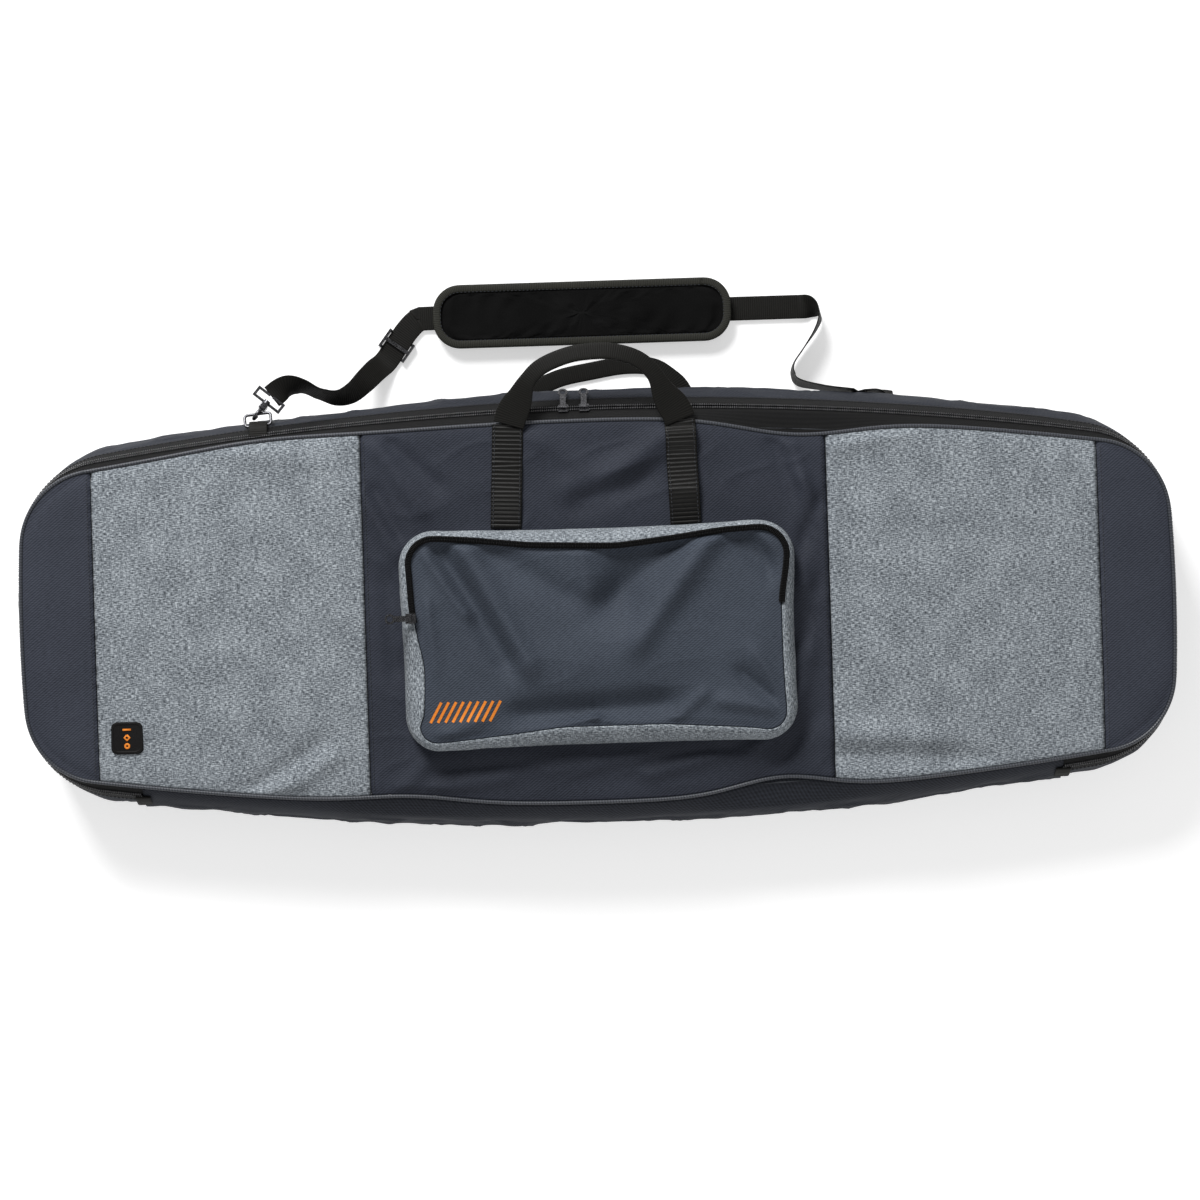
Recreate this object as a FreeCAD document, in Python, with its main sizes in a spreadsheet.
"""Padded board bag lying on its back, with its shoulder strap laid out beside it.

Frame: the origin is the centre of the back face, on the floor.  +X runs along
the bag, +Y points to the side with the zip sliders, handles and shoulder
strap, and +Z points up through the front panel and its pocket.
"""
import FreeCAD, Part
import math
import os

from FreeCAD import Placement, Rotation, Vector

doc = FreeCAD.newDocument("board_bag")

# ---------------------------------------------------------------- dimensions
DIMENSIONS = {
    # outline of the front and back panels: long edges, ends and corners are arcs
    "panel_half_width": 228.0,
    "panel_half_length": 691.0,
    "panel_side_radius": 4340.0,
    "panel_end_radius": 1900.0,
    "panel_corner_radius": 90.0,
    # outline of the gusset at its widest
    "bulge_half_width": 264.0,
    "bulge_half_length": 700.0,
    "bulge_side_radius": 3590.0,
    "bulge_corner_radius": 135.0,
    # heights
    "front_seam_height": 118.0,
    "back_seam_height": 4.0,
    "zip_height": 107.5,
    "gusset_foot": 8.0,
    "gusset_top": 104.0,
    "band_foot": 111.8,
    "band_top": 114.3,
    "hinge_gusset_top": 113.5,
    # sheet goods
    "fabric": 2.5,
    "front_fabric": 3.0,
    "back_foam": 6.0,
    "front_foam": 6.5,
    "foam_inset": 9.0,
    "sewn_gap": 0.5,
    "piping_radius": 3.2,
    "piping_offset": 2.5,
    "coil_radius": 1.9,
    "coil_half_spacing": 1.5,
    # front panel seams and bottom zip stops
    "centre_seam": 279.0,
    "tip_seam": 604.0,
    "zip_stop": 554.0,
    # pocket
    "pocket_width": 470.0,
    "pocket_depth": 260.0,
    "pocket_centre": -30.0,
    "pocket_taper": 9.0,
    "pocket_corner": 40.0,
    "pocket_height": 34.0,
    "pocket_zip_inset": 10.5,
    "pocket_zip_gap": 3.8,
    "pocket_zip_radius": 1.6,
    "pocket_front_inset": 20.4,
    "pocket_flap_line": 5.0,
    # carrying handles
    "handle_width": 38.0,
    "handle_thick": 2.5,
    "handle_spread": 108.0,
    "front_handle_reach": 86.0,
    "back_handle_reach": 68.0,
    # sliders
    "slider_length": 12.0,
    "slider_width": 12.2,
    "slider_plate": 1.6,
    "slider_gap": 5.0,
    "bail_radius": 0.8,
    "puller_length": 30.0,
    "puller_width": 7.0,
    "puller_thick": 1.6,
    # shoulder strap
    "strap_width": 30.0,
    "strap_thick": 2.0,
    "pad_length": 368.0,
    "pad_width": 79.0,
    "pad_corner": 33.5,
    "pad_foam": 8.0,
    "pad_sleeve_length": 320.0,
    "pad_sleeve_height": 5.6,
    "binding_width": 9.0,
    "binding_height": 12.0,
    "ring_wire": 1.8,
    "ring_inner": 28.0,
    "ring_reach": 16.0,
    "hook_radius": 7.0,
    "hook_wire": 2.2,
    "adjuster_length": 26.0,
    "adjuster_height": 7.6,
    "adjuster_straight": 48.0,
    "badge_side": 39.0,
    "badge_thick": 2.0,
    "badge_corner": 8.0,
}

sheet = doc.addObject("Spreadsheet::Sheet", "Dimensions")
for row, (name, value) in enumerate(DIMENSIONS.items(), start=1):
    sheet.set(f"A{row}", name)
    sheet.set(f"B{row}", str(value))
    sheet.setAlias(f"B{row}", name)
doc.recompute()


def size(name):
    """Value of one cell of the sheet."""
    return float(sheet.get(name))


# places worked out from the driving dimensions
SKIN_GAP = 0.2
LID_TOP = size("front_seam_height") + size("front_fabric")
POCKET_FOOT = LID_TOP + SKIN_GAP
POCKET_TOP = POCKET_FOOT + size("pocket_height")
PAD_CENTRE = Vector(-8.0, 367.5, 0.0)
LEFT_RING_X = -402.0
RING_HEIGHT = 95.0
RING_LIFT = 32.0
HOOK_HEADING = (0.62, 0.76, -0.2)
HOUSING_LENGTH = 8.5
POST_RADIUS = 2.4
BOLT_RADIUS = 1.5
ADJUSTER_CENTRE = Vector(-238.0, 335.0, 0.0)
ADJUSTER_HEADING = (0.6, 0.8, 0.0)
STRAP_END = Vector(325.0, 257.0, 64.0)
POCKET_PULLER_DROOP = 8.0
BADGE_CENTRE = Vector(-569.0, -134.5, 0.0)
SLIDER_X = {"left": -34.0, "right": -9.0}
GUSSET_LEVELS = (0.0, 0.25, 0.5, 0.75, 1.0)
node_objects = []


# ------------------------------------------------------------------- helpers
def keep(obj, label):
    """Mark an object as one sub-part and give it its name."""
    obj.Label = label
    node_objects.append(obj)
    return obj


def shape_node(label, shape, placement=None):
    """Sub-part whose swept or lofted form is set from the sheet's values."""
    feature = doc.addObject("Part::Feature", label)
    feature.Shape = shape
    feature.Placement = placement or Placement()
    return keep(feature, label)


def placed_box(length, width, height, centre_x=0.0, centre_y=0.0, foot=0.0):
    """Box centred in plan on a point, standing on the height foot."""
    corner = Vector(centre_x - length / 2, centre_y - width / 2, foot)
    return Part.makeBox(length, width, height, corner)


def outline_edges(mid, end, side_radius, end_radius, corner):
    """Eight arcs of a board-shaped outline, clockwise from the +Y long edge."""
    side_centre = Vector(0, mid - side_radius, 0)
    end_centre = Vector(end - end_radius, 0, 0)
    reach = side_radius - corner
    other = end_radius - corner
    base = end_centre - side_centre
    span = base.Length
    along = (reach**2 - other**2 + span**2) / (2 * span)
    across = math.sqrt(reach**2 - along**2)
    unit = base / span
    normal = Vector(unit.y, -unit.x, 0)
    middle = side_centre + unit * along + normal * across
    on_side = side_centre + (middle - side_centre) * (side_radius / reach)
    on_end = end_centre + (middle - end_centre) * (end_radius / other)
    outward = ((on_side - middle) + (on_end - middle)).normalize()
    bend = middle + outward * corner

    def flip(point, x, y):
        return Vector(point.x * x, point.y * y, 0)

    return [
        Part.Arc(flip(on_side, -1, 1), Vector(0, mid, 0), on_side),
        Part.Arc(on_side, bend, on_end),
        Part.Arc(on_end, Vector(end, 0, 0), flip(on_end, 1, -1)),
        Part.Arc(flip(on_end, 1, -1), flip(bend, 1, -1), flip(on_side, 1, -1)),
        Part.Arc(flip(on_side, 1, -1), Vector(0, -mid, 0), flip(on_side, -1, -1)),
        Part.Arc(flip(on_side, -1, -1), flip(bend, -1, -1), flip(on_end, -1, -1)),
        Part.Arc(flip(on_end, -1, -1), Vector(-end, 0, 0), flip(on_end, -1, 1)),
        Part.Arc(flip(on_end, -1, 1), flip(bend, -1, 1), flip(on_side, -1, 1)),
    ]


def panel_edges(inset):
    """Outline of the flat panels, moved inwards by inset."""
    return outline_edges(
        size("panel_half_width") - inset,
        size("panel_half_length") - inset,
        size("panel_side_radius") - inset,
        size("panel_end_radius") - inset,
        size("panel_corner_radius") - inset,
    )


def bulge_share(height):
    """How far out the gusset stands at a height: 0 at the seams, 1 halfway."""
    half = (size("front_seam_height") - size("back_seam_height")) / 2
    sagitta = size("bulge_half_width") - size("panel_half_width")
    radius = (half**2 + sagitta**2) / (2 * sagitta)
    offset = height - size("back_seam_height") - half
    return (math.sqrt(radius**2 - offset**2) - (radius - sagitta)) / sagitta


def gusset_half_width(height):
    """Half-width of the gusset at the middle of the bag."""
    narrow = size("panel_half_width")
    return narrow + (size("bulge_half_width") - narrow) * bulge_share(height)


def gusset_side_radius(height):
    """Plan radius of the gusset's long side."""
    narrow = size("panel_side_radius")
    return narrow + (size("bulge_side_radius") - narrow) * bulge_share(height)


def gusset_edges(height, inset, stretch):
    """Curves of the gusset at a height, moved inwards by inset.

    The stretch "hinge" is the bottom long edge between the zip stops, and
    "zip" is the rest of the way round: both tips and the top long edge.
    """
    share = bulge_share(height)

    def between(name):
        narrow = size("panel_" + name)
        return narrow + (size("bulge_" + name) - narrow) * share - inset

    mid, radius = between("half_width"), between("side_radius")
    arcs = outline_edges(
        mid,
        between("half_length"),
        radius,
        size("panel_end_radius") - inset,
        between("corner_radius"),
    )
    stop = size("zip_stop")

    def bottom_point(x):
        return Vector(x, radius - mid - math.sqrt(radius**2 - x**2), 0)

    def bottom_arc(first, last):
        points = [bottom_point(x) for x in (first, (first + last) / 2, last)]
        return Part.Arc(*points)

    if stretch == "hinge":
        near = stop - size("sewn_gap")
        curves = [bottom_arc(near, -near)]
    else:
        first = bottom_arc(-stop, arcs[4].EndPoint.x)
        last = bottom_arc(arcs[4].StartPoint.x, stop)
        curves = [first] + arcs[5:] + arcs[:4] + [last]
    edges = [curve.toShape() for curve in curves]
    for edge in edges:
        edge.translate(Vector(0, 0, height))
    return edges


def gusset_wall(heights, stretch):
    """Band of gusset fabric through a list of heights, along one stretch."""
    thick = size("fabric")
    outer = [gusset_edges(height, 0.0, stretch) for height in heights]
    inner = [gusset_edges(height, thick, stretch) for height in heights]
    rows = outer + inner[::-1] + outer[:1]
    faces = []
    for row, following in zip(rows, rows[1:]):
        for edge, other in zip(row, following):
            faces.append(Part.makeRuledSurface(edge, other))
    for index, pick in ((0, "FirstParameter"), (-1, "LastParameter")):
        corners = []
        for row in rows:
            edge = row[index]
            corners.append(edge.valueAt(getattr(edge, pick)))
        faces.append(Part.makeFilledFace(Part.makePolygon(corners).Edges))
    shell = Part.makeShell(faces)
    shell.sewShape()
    return Part.makeSolid(shell)


def round_cord(wire, radius):
    """Round cord swept along a wire."""
    start = wire.Edges[0].valueAt(wire.Edges[0].FirstParameter)
    heading = wire.Edges[0].tangentAt(wire.Edges[0].FirstParameter)
    circle = Part.Wire([Part.makeCircle(radius, start, heading)])
    return wire.makePipeShell([circle], True, False)


def ribbon(stations, width, thick):
    """Flat webbing through stations of (centre, width direction, heading)."""
    sections = []
    for centre, across, heading in stations:
        side = Vector(*across).normalize() * (width / 2)
        up = side.cross(Vector(*heading)).normalize() * (thick / 2)
        middle = Vector(*centre)
        ring = [
            middle - side - up,
            middle + side - up,
            middle + side + up,
            middle - side + up,
        ]
        sections.append(Part.makePolygon(ring + ring[:1]))
    return Part.makeLoft(sections, True, True)


def origin_plane(body, role="XY_Plane"):
    """Origin plane of a body."""
    return next(item for item in body.Origin.OriginFeatures if item.Role == role)


def padded_profile(label, edges, thickness, height):
    """Flat sub-part: a closed profile padded up from a height."""
    body = doc.addObject("PartDesign::Body", label)
    sketch = body.newObject("Sketcher::SketchObject", label + "_profile")
    sketch.AttachmentSupport = (origin_plane(body), [""])
    sketch.MapMode = "FlatFace"
    for edge in edges:
        sketch.addGeometry(edge, False)
    pad = body.newObject("PartDesign::Pad", label + "_pad")
    pad.Profile = sketch
    pad.setExpression("Length", f"Dimensions.{thickness}")
    body.Placement = Placement(Vector(0, 0, height), Rotation())
    return keep(body, label)


def rounded_rectangle(width, depth, corner, centre_y=0.0):
    """Four lines and four arcs, centred on x = 0."""
    x, y = width / 2, depth / 2
    edges = []
    corners = [(1, 1, 0), (-1, 1, 90), (-1, -1, 180), (1, -1, 270)]
    ends = []
    for sign_x, sign_y, start in corners:
        middle = Vector(sign_x * (x - corner), centre_y + sign_y * (y - corner), 0)
        points = []
        for turn in (0, 45, 90):
            angle = math.radians(start + turn)
            points.append(middle + Vector(math.cos(angle), math.sin(angle), 0) * corner)
        edges.append(Part.Arc(*points))
        ends.append((points[0], points[2]))
    for i in range(4):
        edges.append(Part.LineSegment(ends[i][1], ends[(i + 1) % 4][0]))
    ordered = []
    for i in range(4):
        ordered += [edges[i], edges[4 + i]]
    return ordered


def wire_at(edges, height):
    """Wire of a list of curves, lifted to a height."""
    wire = Part.Wire([edge.toShape() for edge in edges])
    wire.translate(Vector(0, 0, height))
    return wire


# --------------------------------------------------------------------- base
def make_base():
    """Back panel, its foam and piping, and the gusset bands."""
    padded_profile("back_panel", panel_edges(1.0), "fabric", 0.0)
    foam_foot = size("fabric") + size("sewn_gap")
    padded_profile("back_foam", panel_edges(size("foam_inset")), "back_foam", foam_foot)

    cord = wire_at(panel_edges(-size("piping_offset")), size("back_seam_height"))
    shape_node("back_piping", round_cord(cord, size("piping_radius")))

    foot = size("gusset_foot")
    bands = [foot + (size("gusset_top") - foot) * share for share in GUSSET_LEVELS]
    shape_node("zip_gusset", gusset_wall(bands, "zip"))
    bands = [foot + (size("hinge_gusset_top") - foot) * share for share in GUSSET_LEVELS]
    shape_node("bottom_gusset", gusset_wall(bands, "hinge"))


def zip_coil(label, height):
    """Half of the main zip's coil, round the tips and the top long edge."""
    path = Part.Wire(gusset_edges(height, size("fabric") / 2, "zip"))
    return shape_node(label, round_cord(path, size("coil_radius")))


def surface_frame(x, height, top=True, lift=0.0):
    """Placement on the gusset: local Z out of the fabric, local X along it."""
    side_radius = gusset_side_radius(height)
    centre_y = gusset_half_width(height) - side_radius
    y = centre_y + math.sqrt(side_radius**2 - x**2)
    half = (size("front_seam_height") - size("back_seam_height")) / 2
    sagitta = size("bulge_half_width") - size("panel_half_width")
    radius = (half**2 + sagitta**2) / (2 * sagitta)
    rise = math.asin((height - size("back_seam_height") - half) / radius)
    sign = 1 if top else -1
    yaw = -sign * math.degrees(math.asin(x / side_radius))
    lean = -sign * (90 - math.degrees(rise))
    turn = Rotation(Vector(0, 0, 1), yaw).multiply(Rotation(Vector(1, 0, 0), lean))
    out = turn.multVec(Vector(0, 0, 1))
    return Placement(Vector(x, sign * y, height) + out * lift, turn)


def make_zip():
    """Coils of the main zip, the lid's zip band and the webbing end tabs."""
    spacing = size("coil_half_spacing")
    zip_coil("zip_coil_base", size("zip_height") - spacing)
    zip_coil("zip_coil_lid", size("zip_height") + spacing)

    shape_node("zip_band", gusset_wall([size("band_foot"), size("band_top")], "zip"))

    tab_length, tab_width, tab_height, tab_lift = 24.0, 16.0, 93.0, 1.6
    for label, x in (("zip_tab_left", -1), ("zip_tab_right", 1)):
        tab = doc.addObject("Part::Box", label)
        tab.Length = tab_width
        tab.Width = tab_length
        tab.setExpression("Height", "Dimensions.handle_thick")
        local = Placement(Vector(-tab_width / 2, -tab_length / 2, 0), Rotation())
        spot = surface_frame(x * size("zip_stop"), tab_height, top=False, lift=tab_lift)
        tab.Placement = spot.multiply(local)
        keep(tab, label)


# ---------------------------------------------------------------------- lid
def long_edge_y(x, inset):
    """Half-width of the flat panels at a place along the bag."""
    radius = size("panel_side_radius") - inset
    return size("panel_half_width") - inset - radius + math.sqrt(radius**2 - x**2)


def middle_panel_edges(low, high, inset):
    """Front panel between two straight seams, its long edges arcs."""
    centre = (low + high) / 2
    corners = [
        Vector(low, long_edge_y(low, inset), 0),
        Vector(high, long_edge_y(high, inset), 0),
        Vector(high, -long_edge_y(high, inset), 0),
        Vector(low, -long_edge_y(low, inset), 0),
    ]
    crown = Vector(centre, long_edge_y(centre, inset), 0)
    return [
        Part.Arc(corners[0], crown, corners[1]),
        Part.LineSegment(corners[1], corners[2]),
        Part.Arc(corners[2], Vector(crown.x, -crown.y, 0), corners[3]),
        Part.LineSegment(corners[3], corners[0]),
    ]


def tip_panel_edges(sign, inset):
    """Front panel from the outer seam round one end of the bag."""
    seam = size("tip_seam") + size("sewn_gap") / 2
    arcs = outline_edges(
        size("panel_half_width") - inset,
        size("panel_half_length") - inset,
        size("panel_side_radius") - inset,
        size("panel_end_radius") - inset,
        size("panel_corner_radius") - inset,
    )
    corner_arc, end_arc = arcs[1], arcs[2]
    circle = corner_arc.toShape().Curve
    centre, radius = circle.Center, circle.Radius
    seam_y = centre.y + math.sqrt(radius**2 - (seam - centre.x) ** 2)
    angle = math.atan2(seam_y - centre.y, seam - centre.x)
    finish = corner_arc.EndPoint
    last = math.atan2(finish.y - centre.y, finish.x - centre.x)
    halfway = (angle + last) / 2
    bend = centre + Vector(math.cos(halfway), math.sin(halfway), 0) * radius

    def place(point, y=1):
        return Vector(sign * point.x, y * point.y, 0)

    top_start = Vector(seam, seam_y, 0)
    crown = end_arc.StartPoint
    tip = Vector(size("panel_half_length") - inset, 0, 0)
    return [
        Part.Arc(place(top_start), place(bend), place(crown)),
        Part.Arc(place(crown), place(tip), place(crown, -1)),
        Part.Arc(place(crown, -1), place(bend, -1), place(top_start, -1)),
        Part.LineSegment(place(top_start, -1), place(top_start)),
    ]


def make_front():
    """Five front panels, the foam under them, the piping and the badge."""
    level = size("front_seam_height")
    gap = size("sewn_gap") / 2
    inner, outer = size("centre_seam"), size("tip_seam")
    edges = {
        "front_panel_centre": middle_panel_edges(gap - inner, inner - gap, 1.0),
        "side_panel_left": middle_panel_edges(gap - outer, -inner - gap, 1.0),
        "side_panel_right": middle_panel_edges(inner + gap, outer - gap, 1.0),
        "tip_panel_left": tip_panel_edges(-1, 1.0),
        "tip_panel_right": tip_panel_edges(1, 1.0),
    }
    for label, profile in edges.items():
        padded_profile(label, profile, "front_fabric", level)

    foam_foot = level - size("front_foam") - size("sewn_gap")
    padded_profile("front_foam", panel_edges(size("foam_inset")), "front_foam", foam_foot)

    cord = wire_at(panel_edges(-size("piping_offset")), level)
    shape_node("front_piping", round_cord(cord, size("piping_radius")))

    side = size("badge_side")
    badge = rounded_rectangle(side, side, size("badge_corner"))
    body = padded_profile("badge", badge, "badge_thick", LID_TOP + SKIN_GAP)
    body.Placement.Base += BADGE_CENTRE


def make_handle_straps():
    """Webbing of the front handle stitched flat on the centre panel."""
    start = size("pocket_centre") + size("pocket_depth") / 2 + 0.5
    finish = size("panel_half_width") - 2.0
    for label, sign in (("handle_strap_left", -1), ("handle_strap_right", 1)):
        strap = doc.addObject("Part::Box", label)
        strap.setExpression("Length", "Dimensions.handle_width")
        strap.Width = finish - start
        strap.setExpression("Height", "Dimensions.handle_thick")
        corner = sign * size("handle_spread") - size("handle_width") / 2
        strap.Placement.Base = Vector(corner, start, LID_TOP + SKIN_GAP)
        keep(strap, label)


# ------------------------------------------------------------------- pocket
def pocket_edges(inset):
    """Rounded outline of the pocket, moved inwards by inset."""
    return rounded_rectangle(
        size("pocket_width") - 2 * inset,
        size("pocket_depth") - 2 * inset,
        size("pocket_corner") - inset / 2,
        size("pocket_centre"),
    )


def pocket_half(inset, upper):
    """Part of the pocket front above or below the flap's fold line."""
    line = size("pocket_flap_line")
    gap = size("sewn_gap") / 2
    half = size("pocket_width") / 2 - inset
    corner = size("pocket_corner") - inset / 2
    sign = 1 if upper else -1
    far = size("pocket_centre") + sign * (size("pocket_depth") / 2 - inset)
    near = line + sign * gap
    bend = corner * (1 - math.sqrt(0.5))
    return [
        Part.LineSegment(Vector(-half, near, 0), Vector(half, near, 0)),
        Part.LineSegment(Vector(half, near, 0), Vector(half, far - sign * corner, 0)),
        Part.Arc(
            Vector(half, far - sign * corner, 0),
            Vector(half - bend, far - sign * bend, 0),
            Vector(half - corner, far, 0),
        ),
        Part.LineSegment(Vector(half - corner, far, 0), Vector(corner - half, far, 0)),
        Part.Arc(
            Vector(corner - half, far, 0),
            Vector(bend - half, far - sign * bend, 0),
            Vector(-half, far - sign * corner, 0),
        ),
        Part.LineSegment(Vector(-half, far - sign * corner, 0), Vector(-half, near, 0)),
    ]


def make_pocket():
    """Pocket gusset, its front in two parts and the zip between them."""
    thick = size("fabric")
    taper = size("pocket_taper")
    outer = [wire_at(pocket_edges(0), POCKET_FOOT), wire_at(pocket_edges(taper), POCKET_TOP)]
    inner = [
        wire_at(pocket_edges(thick), POCKET_FOOT - 0.01),
        wire_at(pocket_edges(taper + thick), POCKET_TOP + 0.01),
    ]
    wall = Part.makeLoft(outer, True, True).cut(Part.makeLoft(inner, True, True))
    shape_node("pocket_gusset", wall)

    front_level = POCKET_TOP + 1.0
    inset = size("pocket_front_inset")
    padded_profile("pocket_front", pocket_half(inset, False), "fabric", front_level)
    padded_profile("pocket_flap", pocket_half(inset, True), "fabric", front_level)

    radius = size("pocket_zip_radius")
    line = size("pocket_flap_line")
    height = POCKET_TOP + radius + SKIN_GAP
    cut_length, cut_depth = size("pocket_width") * 1.1, size("pocket_depth") * 1.2
    for label, offset, start in (
        ("pocket_coil_gusset", 0.0, line),
        ("pocket_coil_flap", size("pocket_zip_gap"), line + 1.0),
    ):
        path = pocket_edges(size("pocket_zip_inset") + offset)
        cord = round_cord(wire_at(path, height), radius)
        foot = height - 2 * radius
        below = placed_box(
            cut_length, cut_depth, 4 * radius, 0, start - cut_depth / 2, foot
        )
        shape_node(label, cord.cut(below))


# ------------------------------------------------------------------ handles
def handle_stations(root_y, root_z, reach, spread, lift, twist):
    """Stations of a webbing handle that arches away from the bag's edge."""
    stations = []
    steps = 12
    for i in range(steps + 1):
        turn = math.pi * i / steps
        x = -spread * math.cos(turn)
        rise = math.sin(turn)
        centre = (x, root_y + reach * rise, root_z + lift * rise**2)
        heading = (spread * math.sin(turn), reach * math.cos(turn), 0)
        lean = math.radians(twist) * rise**2
        flat = (heading[1], -heading[0], 0)
        length = math.hypot(*flat[:2])
        flat = (flat[0] / length, flat[1] / length)
        across = (
            flat[0] * math.cos(lean),
            flat[1] * math.cos(lean),
            math.sin(lean),
        )
        stations.append((centre, across, heading))
    return stations


def make_handles():
    """Front and back carrying handles."""
    spread = size("handle_spread")
    width, thick = size("handle_width"), size("handle_thick")
    root_y = size("panel_half_width") - 1.0
    top = LID_TOP + SKIN_GAP + 0.4 + thick / 2
    arch = handle_stations(root_y, top, size("front_handle_reach"), spread, 4.0, 50.0)
    shape_node("front_handle", ribbon(arch, width, thick))

    seam = size("panel_half_width") + size("piping_offset") + size("piping_radius") + 0.4
    arch = handle_stations(seam, 1.0 + thick / 2, size("back_handle_reach"), spread, 0.0, 0.0)
    shape_node("back_handle", ribbon(arch, width, thick))


# ------------------------------------------------------------------ sliders
def slider_shape():
    """Zip slider: an outer plate, an inner plate on one side, and a bail."""
    length, width = size("slider_length"), size("slider_width")
    plate, gap = size("slider_plate"), size("slider_gap")
    top = gap / 2
    outer = placed_box(length, width, plate, 0, 0, top)
    uprights = [edge for edge in outer.Edges if abs(edge.Length - plate) < 1e-6]
    corner, post_x = 1.2, 5.0
    post_thick, post_width, post_height = 1.6, 3.0, 1.8
    outer = outer.makeFillet(corner, uprights)
    bar_radius = size("bail_radius")
    post = placed_box(post_thick, post_width, post_height + bar_radius, 0, 0, top + plate)
    posts = [post.translated(Vector(x, 0, 0)) for x in (-post_x, post_x)]
    bar_height = top + plate + post_height
    bar_start = Vector(-post_x, 0, bar_height)
    bar = Part.makeCylinder(bar_radius, 2 * post_x, bar_start, Vector(1, 0, 0))
    inner_length, rib_thick, overlap = length - 2, 0.9, 0.1
    inner_width = width / 2 - 0.6
    inner = placed_box(
        inner_length, inner_width, plate, 0, (inner_width - width) / 2, -top - plate
    )
    rib_foot = -top - overlap
    rib_height = gap + 2 * overlap
    rib = placed_box(
        inner_length, rib_thick, rib_height, 0, (rib_thick - width) / 2, rib_foot
    )
    body = outer
    for piece in posts + [bar, inner, rib]:
        body = body.fuse(piece)
    return body.removeSplitter(), bar_height


def puller_shape():
    """Flat puller with an eye round the bail and an open ring at its end."""
    length, width = size("puller_length"), size("puller_width")
    thick = size("puller_thick")
    eye_wall, eye_width, running_fit = 0.9, width - 1.4, 0.05
    ring_radius, hole_radius = 6.0, 3.6
    ring_y, blade_foot = length - 5.0, 0.8
    blade_length = length - 8.0
    bail, sideways = size("bail_radius"), Vector(1, 0, 0)
    eye = Part.makeCylinder(bail + eye_wall, eye_width, Vector(-eye_width / 2, 0, 0), sideways)
    blade_y = blade_length / 2 + blade_foot
    blade = placed_box(width, blade_length, thick, 0, blade_y, -thick / 2)
    ring = Part.makeCylinder(ring_radius, thick, Vector(0, ring_y, -thick / 2))
    hole = Part.makeCylinder(hole_radius, thick * 2, Vector(0, ring_y, -thick))
    bore = Part.makeCylinder(bail + running_fit, width * 2, Vector(-width, 0, 0), sideways)
    return eye.fuse(blade).fuse(ring).cut(hole).cut(bore).removeSplitter()


def make_sliders():
    """Two sliders at the middle of the top edge, with their pullers."""
    body, bar_height = slider_shape()
    puller = puller_shape()
    for side, x in SLIDER_X.items():
        spot = surface_frame(x, size("zip_height"), lift=-size("fabric") / 2)
        shape_node(f"slider_{side}", body, spot)
        hung = spot.multiply(Placement(Vector(0, 0, bar_height), Rotation()))
        shape_node(f"puller_{side}", puller, hung)

    level = POCKET_TOP + size("pocket_zip_radius") + SKIN_GAP
    x = size("pocket_zip_inset") + size("pocket_zip_gap") / 2 - size("pocket_width") / 2
    place = Vector(x, size("pocket_flap_line") - size("slider_length") / 2 - 1, level)
    spot = Placement(place, Rotation(Vector(0, 0, 1), 90))
    shape_node("pocket_slider", body, spot)
    lean = Rotation(Vector(1, 0, 0), -POCKET_PULLER_DROOP)
    shape_node("pocket_puller", puller, spot.multiply(Placement(Vector(0, 0, bar_height), lean)))


# ----------------------------------------------------------- shoulder strap
def ring_shape():
    """Rectangular wire ring, its near bar on the local X axis."""
    wire = size("ring_wire")
    reach = size("ring_reach")
    edges = rounded_rectangle(size("ring_inner") + 2 * wire, reach, 4.0, reach / 2)
    return round_cord(wire_at(edges, 0), wire)


def ring_tab_shape():
    """Short webbing tab folded round the near bar of a ring."""
    wire = size("ring_wire")
    width = size("ring_inner") - 10.0
    wrap = wire + 2.2
    depth = 12.0
    fold = Part.makeCylinder(wrap, width, Vector(-width / 2, 0, 0), Vector(1, 0, 0))
    tail = placed_box(width, depth, wrap, 0, -depth / 2, -wrap)
    bore = Part.makeCylinder(wire + 0.1, width * 2, Vector(-width, 0, 0), Vector(1, 0, 0))
    return fold.fuse(tail).cut(bore).removeSplitter()


def make_ring():
    """Strap ring and its tab; returns the middle of the ring's far bar."""
    spot = surface_frame(LEFT_RING_X, RING_HEIGHT, lift=size("ring_wire") + 2.6)
    shape_node("ring_tab", ring_tab_shape(), spot)
    lifted = spot.multiply(Placement(Vector(), Rotation(Vector(1, 0, 0), RING_LIFT)))
    shape_node("strap_ring", ring_shape(), lifted)
    return lifted.multVec(Vector(0, size("ring_reach"), 0))


def hook_frame(pivot):
    """Placement of the hook: local X along its shank, local Z sideways."""
    along = Vector(*HOOK_HEADING).normalize()
    side = along.cross(Vector(0, 0, 1)).normalize()
    up = side.cross(along)
    matrix = FreeCAD.Matrix(
        along.x, up.x, side.x, pivot.x,
        along.y, up.y, side.y, pivot.y,
        along.z, up.z, side.z, pivot.z,
        0, 0, 0, 1,
    )
    return Placement(matrix)


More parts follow.
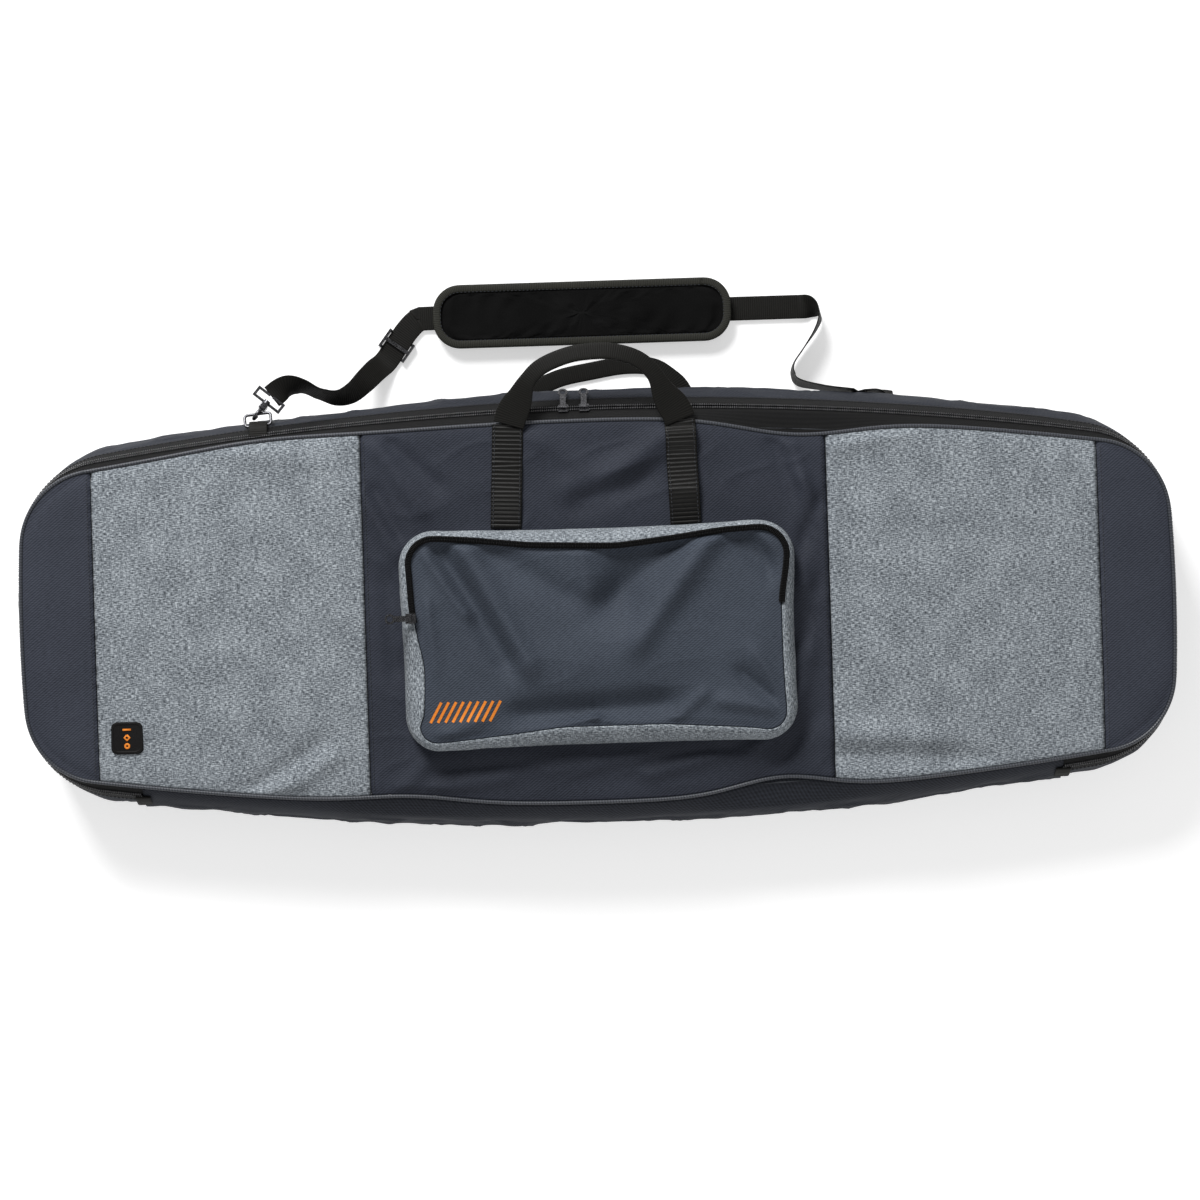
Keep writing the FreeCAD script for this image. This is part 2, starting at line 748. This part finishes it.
def hook_shape():
    """Hook bent round the origin, its housing and the swivel post."""
    radius, wire = size("hook_radius"), size("hook_wire")
    mouth_angle, forward = 262, Vector(1, 0, 0)
    ring = Part.makeTorus(radius, wire, Vector(), Vector(0, 0, 1), 0, 360, mouth_angle)
    width, height, offset, corner = 17.0, 9.0, -2.5, 1.5
    middle_x = radius + HOUSING_LENGTH / 2
    housing = placed_box(HOUSING_LENGTH, width, height, middle_x, offset, -height / 2)
    housing = housing.makeFillet(corner, housing.Edges)
    post_start = radius + HOUSING_LENGTH - 0.5
    post_length, head_radius, head_thick = 4.0, 4.0, 1.5
    post = Part.makeCylinder(POST_RADIUS, post_length + 0.5, Vector(post_start, 0, 0), forward)
    head_place = Vector(post_start + post_length, 0, 0)
    head = Part.makeCylinder(head_radius, head_thick, head_place, forward)
    body = ring.fuse(housing).fuse(post).fuse(head)
    fit = BOLT_RADIUS + 0.05
    bore = Part.makeCylinder(fit, HOUSING_LENGTH * 2, Vector(radius / 2, -radius, 0), forward)
    slot_depth, slot_height, slot_start = 8.0, 2.4, 1.2
    slot = placed_box(
        HOUSING_LENGTH,
        slot_depth,
        slot_height,
        middle_x + slot_start,
        -radius - slot_depth / 2,
        -slot_height / 2,
    )
    return body.cut(bore).cut(slot).removeSplitter()


def bolt_shape():
    """Sliding bolt that closes the hook's mouth, with its thumb knob."""
    radius = size("hook_radius")
    pin_start, pin_length, stem_x = 0.8, 12.0, 10.6
    stem_side, stem_length, stem_reach = 1.8, 6.0, 3.2
    knob_radius, knob_thick, knob_reach = 2.6, 1.6, 5.2
    pin = Part.makeCylinder(
        BOLT_RADIUS, pin_length, Vector(pin_start, -radius, 0), Vector(1, 0, 0)
    )
    stem_y = -radius - stem_reach
    stem = placed_box(stem_side, stem_length, stem_side, stem_x, stem_y, -stem_side / 2)
    knob_place = Vector(stem_x, -radius - knob_reach, 0)
    knob = Part.makeCylinder(knob_radius, knob_thick, knob_place, Vector(0, -1, 0))
    return pin.fuse(stem).fuse(knob).removeSplitter()


def loop_shape(start):
    """Flat loop that turns on the swivel post and carries the webbing."""
    inner = size("strap_width") + 3.0
    bar, depth, corner, long_edge = 3.2, 7.5, 0.8, 20.0
    middle_x = start + depth / 2 + bar
    outside = placed_box(depth + 2 * bar, bar, inner + 2 * bar, middle_x, 0, 0)
    window = placed_box(depth, 2.5 * bar, inner, middle_x, 0, bar)
    frame = outside.cut(window)
    frame.translate(Vector(0, 0, -inner / 2 - bar))
    frame = frame.makeFillet(corner, [edge for edge in frame.Edges if edge.Length > long_edge])
    boss_radius, boss_gap, forward = 4.2, 0.2, Vector(1, 0, 0)
    boss_place = Vector(start + boss_gap, 0, 0)
    boss = Part.makeCylinder(boss_radius, bar - 2 * boss_gap, boss_place, forward)
    bore = Part.makeCylinder(POST_RADIUS + 0.05, 20, Vector(start - bar, 0, 0), forward)
    return frame.fuse(boss).cut(bore).removeSplitter(), start + bar * 1.5 + depth


def strap_stations(frame, bar_x):
    """Stations of the strap webbing from the hook's loop to its far end.

    It leaves the loop on edge and drops to the floor, runs flat through the
    adjuster and under the pad, then turns on edge, folds back towards the bag
    and climbs to the place where it is sewn in.
    """
    bar_clearance = 2.6
    start = frame.multVec(Vector(bar_x + bar_clearance, 0, 0))
    across = frame.Rotation.multVec(Vector(0, 0, 1))
    heading = frame.Rotation.multVec(Vector(1, 0, 0))
    level = size("strap_thick") * 2
    straight = Vector(*ADJUSTER_HEADING)
    sideways = (straight.y, -straight.x, 0)
    half = straight * size("adjuster_straight") / 2
    flat = ADJUSTER_CENTRE + Vector(0, 0, level)
    y = PAD_CENTRE.y
    falling = [
        (tuple(start), tuple(across), tuple(heading)),
        ((-369, 283.5, 80), (0.5, -0.68, -0.55), (0.85, 0.45, -0.28)),
        ((-350, 283, 72), (0.2, -0.5, -0.84), (0.94, -0.2, -0.3)),
        ((-330, 275, 62), (0.1, -0.4, -0.9), (0.92, -0.28, -0.3)),
        ((-310, 271, 52), (0.2, -0.5, -0.85), (0.93, 0.1, -0.35)),
        ((-292, 277, 41), (0.45, -0.6, -0.66), (0.78, 0.55, -0.4)),
        ((-277, 291, 30), (0.66, -0.6, -0.45), (0.6, 0.7, -0.4)),
        ((-264, 305, 15), (0.75, -0.6, -0.25), (0.55, 0.72, -0.45)),
    ]
    level_run = [
        (tuple(flat - half), sideways, tuple(straight)),
        (tuple(flat + half), sideways, tuple(straight)),
        ((-211, y - 2.1, level), (0.38, -0.925, 0), (0.925, 0.38, 0)),
        ((-196, y, level), (0, -1, 0), (1, 0, 0)),
        ((262, y, level), (0, -1, 0), (1, 0, 0)),
    ]
    returning = [
        ((274, 366.8, 8.6), (0.05, -0.85, -0.45), (0.9, -0.2, 0.35)),
        ((283, 362, 13.6), (0.15, -0.5, -0.8), (0.5, -0.8, 0.25)),
        ((285, 352, 16.6), (0.15, -0.2, -0.95), (-0.1, -1, 0.1)),
        ((278, 336, 17.6), (0.1, -0.05, -1), (-0.45, -0.88, 0.1)),
        ((262, 313, 17.6), (0, 0, -1), (-0.55, -0.83, 0)),
        ((251, 297, 17.6), (0, 0, -1), (-0.35, -0.93, 0.05)),
        ((249, 284, 19), (-0.1, -0.05, -1), (0.15, -0.98, 0.1)),
        ((257, 273, 24), (-0.2, -0.1, -1), (0.75, -0.6, 0.3)),
        ((287, 264, 42), (-0.1, -0.1, -1), (0.85, -0.2, 0.48)),
        (tuple(STRAP_END), (0, -0.1, -1), (0.87, -0.15, 0.45)),
    ]
    return falling + level_run + returning


def pad_edges(inset=0.0):
    """Pad outline with large round corners, moved inwards by inset."""
    return rounded_rectangle(
        size("pad_length") - 2 * inset,
        size("pad_width") - 2 * inset,
        size("pad_corner") - inset,
    )


def make_pad():
    """Shoulder pad: webbing sleeve, cover, foam, face and bound edge."""
    edge = size("binding_width") - 1.0
    length, height = size("pad_sleeve_length"), size("pad_sleeve_height")
    sleeve_foot, sleeve_cloth, sleeve_seam = 0.8, 1.4, 4.0
    opening = size("strap_width") + 1.5
    sleeve = placed_box(length, opening + 2 * sleeve_seam, height, 0, 0, sleeve_foot)
    tunnel = placed_box(length * 2, opening, height, 0, 0, sleeve_foot + sleeve_cloth)
    shape_node("pad_sleeve", sleeve.cut(tunnel), Placement(PAD_CENTRE, Rotation()))
    level = sleeve_foot + height + SKIN_GAP
    cover = size("fabric") / 2
    layers = (
        ("pad_cover", cover, level),
        ("pad_foam", size("pad_foam"), level + cover + SKIN_GAP),
        ("pad_face", cover, level + cover + size("pad_foam") + 2 * SKIN_GAP),
    )
    for label, thick, foot in layers:
        face = Part.Face(wire_at(pad_edges(edge + 1.0), 0))
        solid = face.extrude(Vector(0, 0, thick))
        shape_node(label, solid, Placement(PAD_CENTRE + Vector(0, 0, foot), Rotation()))
    outer = Part.Face(wire_at(pad_edges(), 0))
    inner = Part.Face(wire_at(pad_edges(edge), 0))
    binding = outer.cut(inner).extrude(Vector(0, 0, size("binding_height")))
    shape_node("pad_binding", binding, Placement(PAD_CENTRE + Vector(0, 0, level), Rotation()))


def make_adjuster():
    """Strap adjuster: two rails, two low bars and a raised middle bar."""
    length, height = size("adjuster_length"), size("adjuster_height")
    half = size("strap_width") / 2 + 0.8
    foot, rail_width, bar_thick = 0.2, 3.0, 2.0
    low_width, high_width = 3.6, 4.6
    bar_x = (length - low_width) / 2
    span = 2 * half + 1
    rail = placed_box(length, rail_width, height, 0, half + rail_width / 2, foot)
    low_bar = placed_box(low_width, span, bar_thick, bar_x, 0, foot)
    high_bar = placed_box(high_width, span, bar_thick, 0, 0, foot + height - bar_thick)
    body = rail.fuse(rail.mirror(Vector(), Vector(0, 1, 0)))
    for bar in (low_bar, low_bar.mirror(Vector(), Vector(1, 0, 0)), high_bar):
        body = body.fuse(bar)
    heading = Rotation(Vector(1, 0, 0), Vector(*ADJUSTER_HEADING))
    shape_node("strap_adjuster", body.removeSplitter(), Placement(ADJUSTER_CENTRE, heading))


def make_shoulder_strap():
    """Ring, hook, webbing, adjuster and pad."""
    pivot = make_ring()
    frame = hook_frame(pivot)
    shape_node("strap_hook", hook_shape(), frame)
    shape_node("hook_bolt", bolt_shape(), frame)
    loop, bar_x = loop_shape(size("hook_radius") + HOUSING_LENGTH + 0.2)
    shape_node("swivel_loop", loop, frame)
    webbing = ribbon(strap_stations(frame, bar_x), size("strap_width"), size("strap_thick"))
    shape_node("strap_webbing", webbing)
    make_adjuster()
    make_pad()
    end = STRAP_END + Vector(1.5, 0, 0)
    tail = [
        (tuple(end), (0, -0.1, -1), (1, -0.1, -0.3)),
        ((350, 256, 44), (0.3, -0.1, -0.95), (0.8, -0.1, -0.6)),
        ((372, 248, 26), (0.5, 0.3, -0.8), (0.8, -0.2, -0.6)),
    ]
    shape_node("strap_end", ribbon(tail, size("strap_width") - 4, size("strap_thick")))


doc.recompute()
make_base()
make_zip()
make_front()
make_handle_straps()
make_pocket()
make_handles()
make_sliders()
make_shoulder_strap()
doc.recompute()

os.makedirs("parts", exist_ok=True)
for item in node_objects:
    state = item.State
    if "Invalid" in state or "Error" in state:
        raise RuntimeError(f"{item.Label} did not build: {state}")
    if item.Shape.isNull() or not item.Shape.isValid():
        raise RuntimeError(f"{item.Label} has no valid shape")
    item.Shape.exportStep(f"parts/{item.Label}.step")
print(len(node_objects), "sub-parts written")
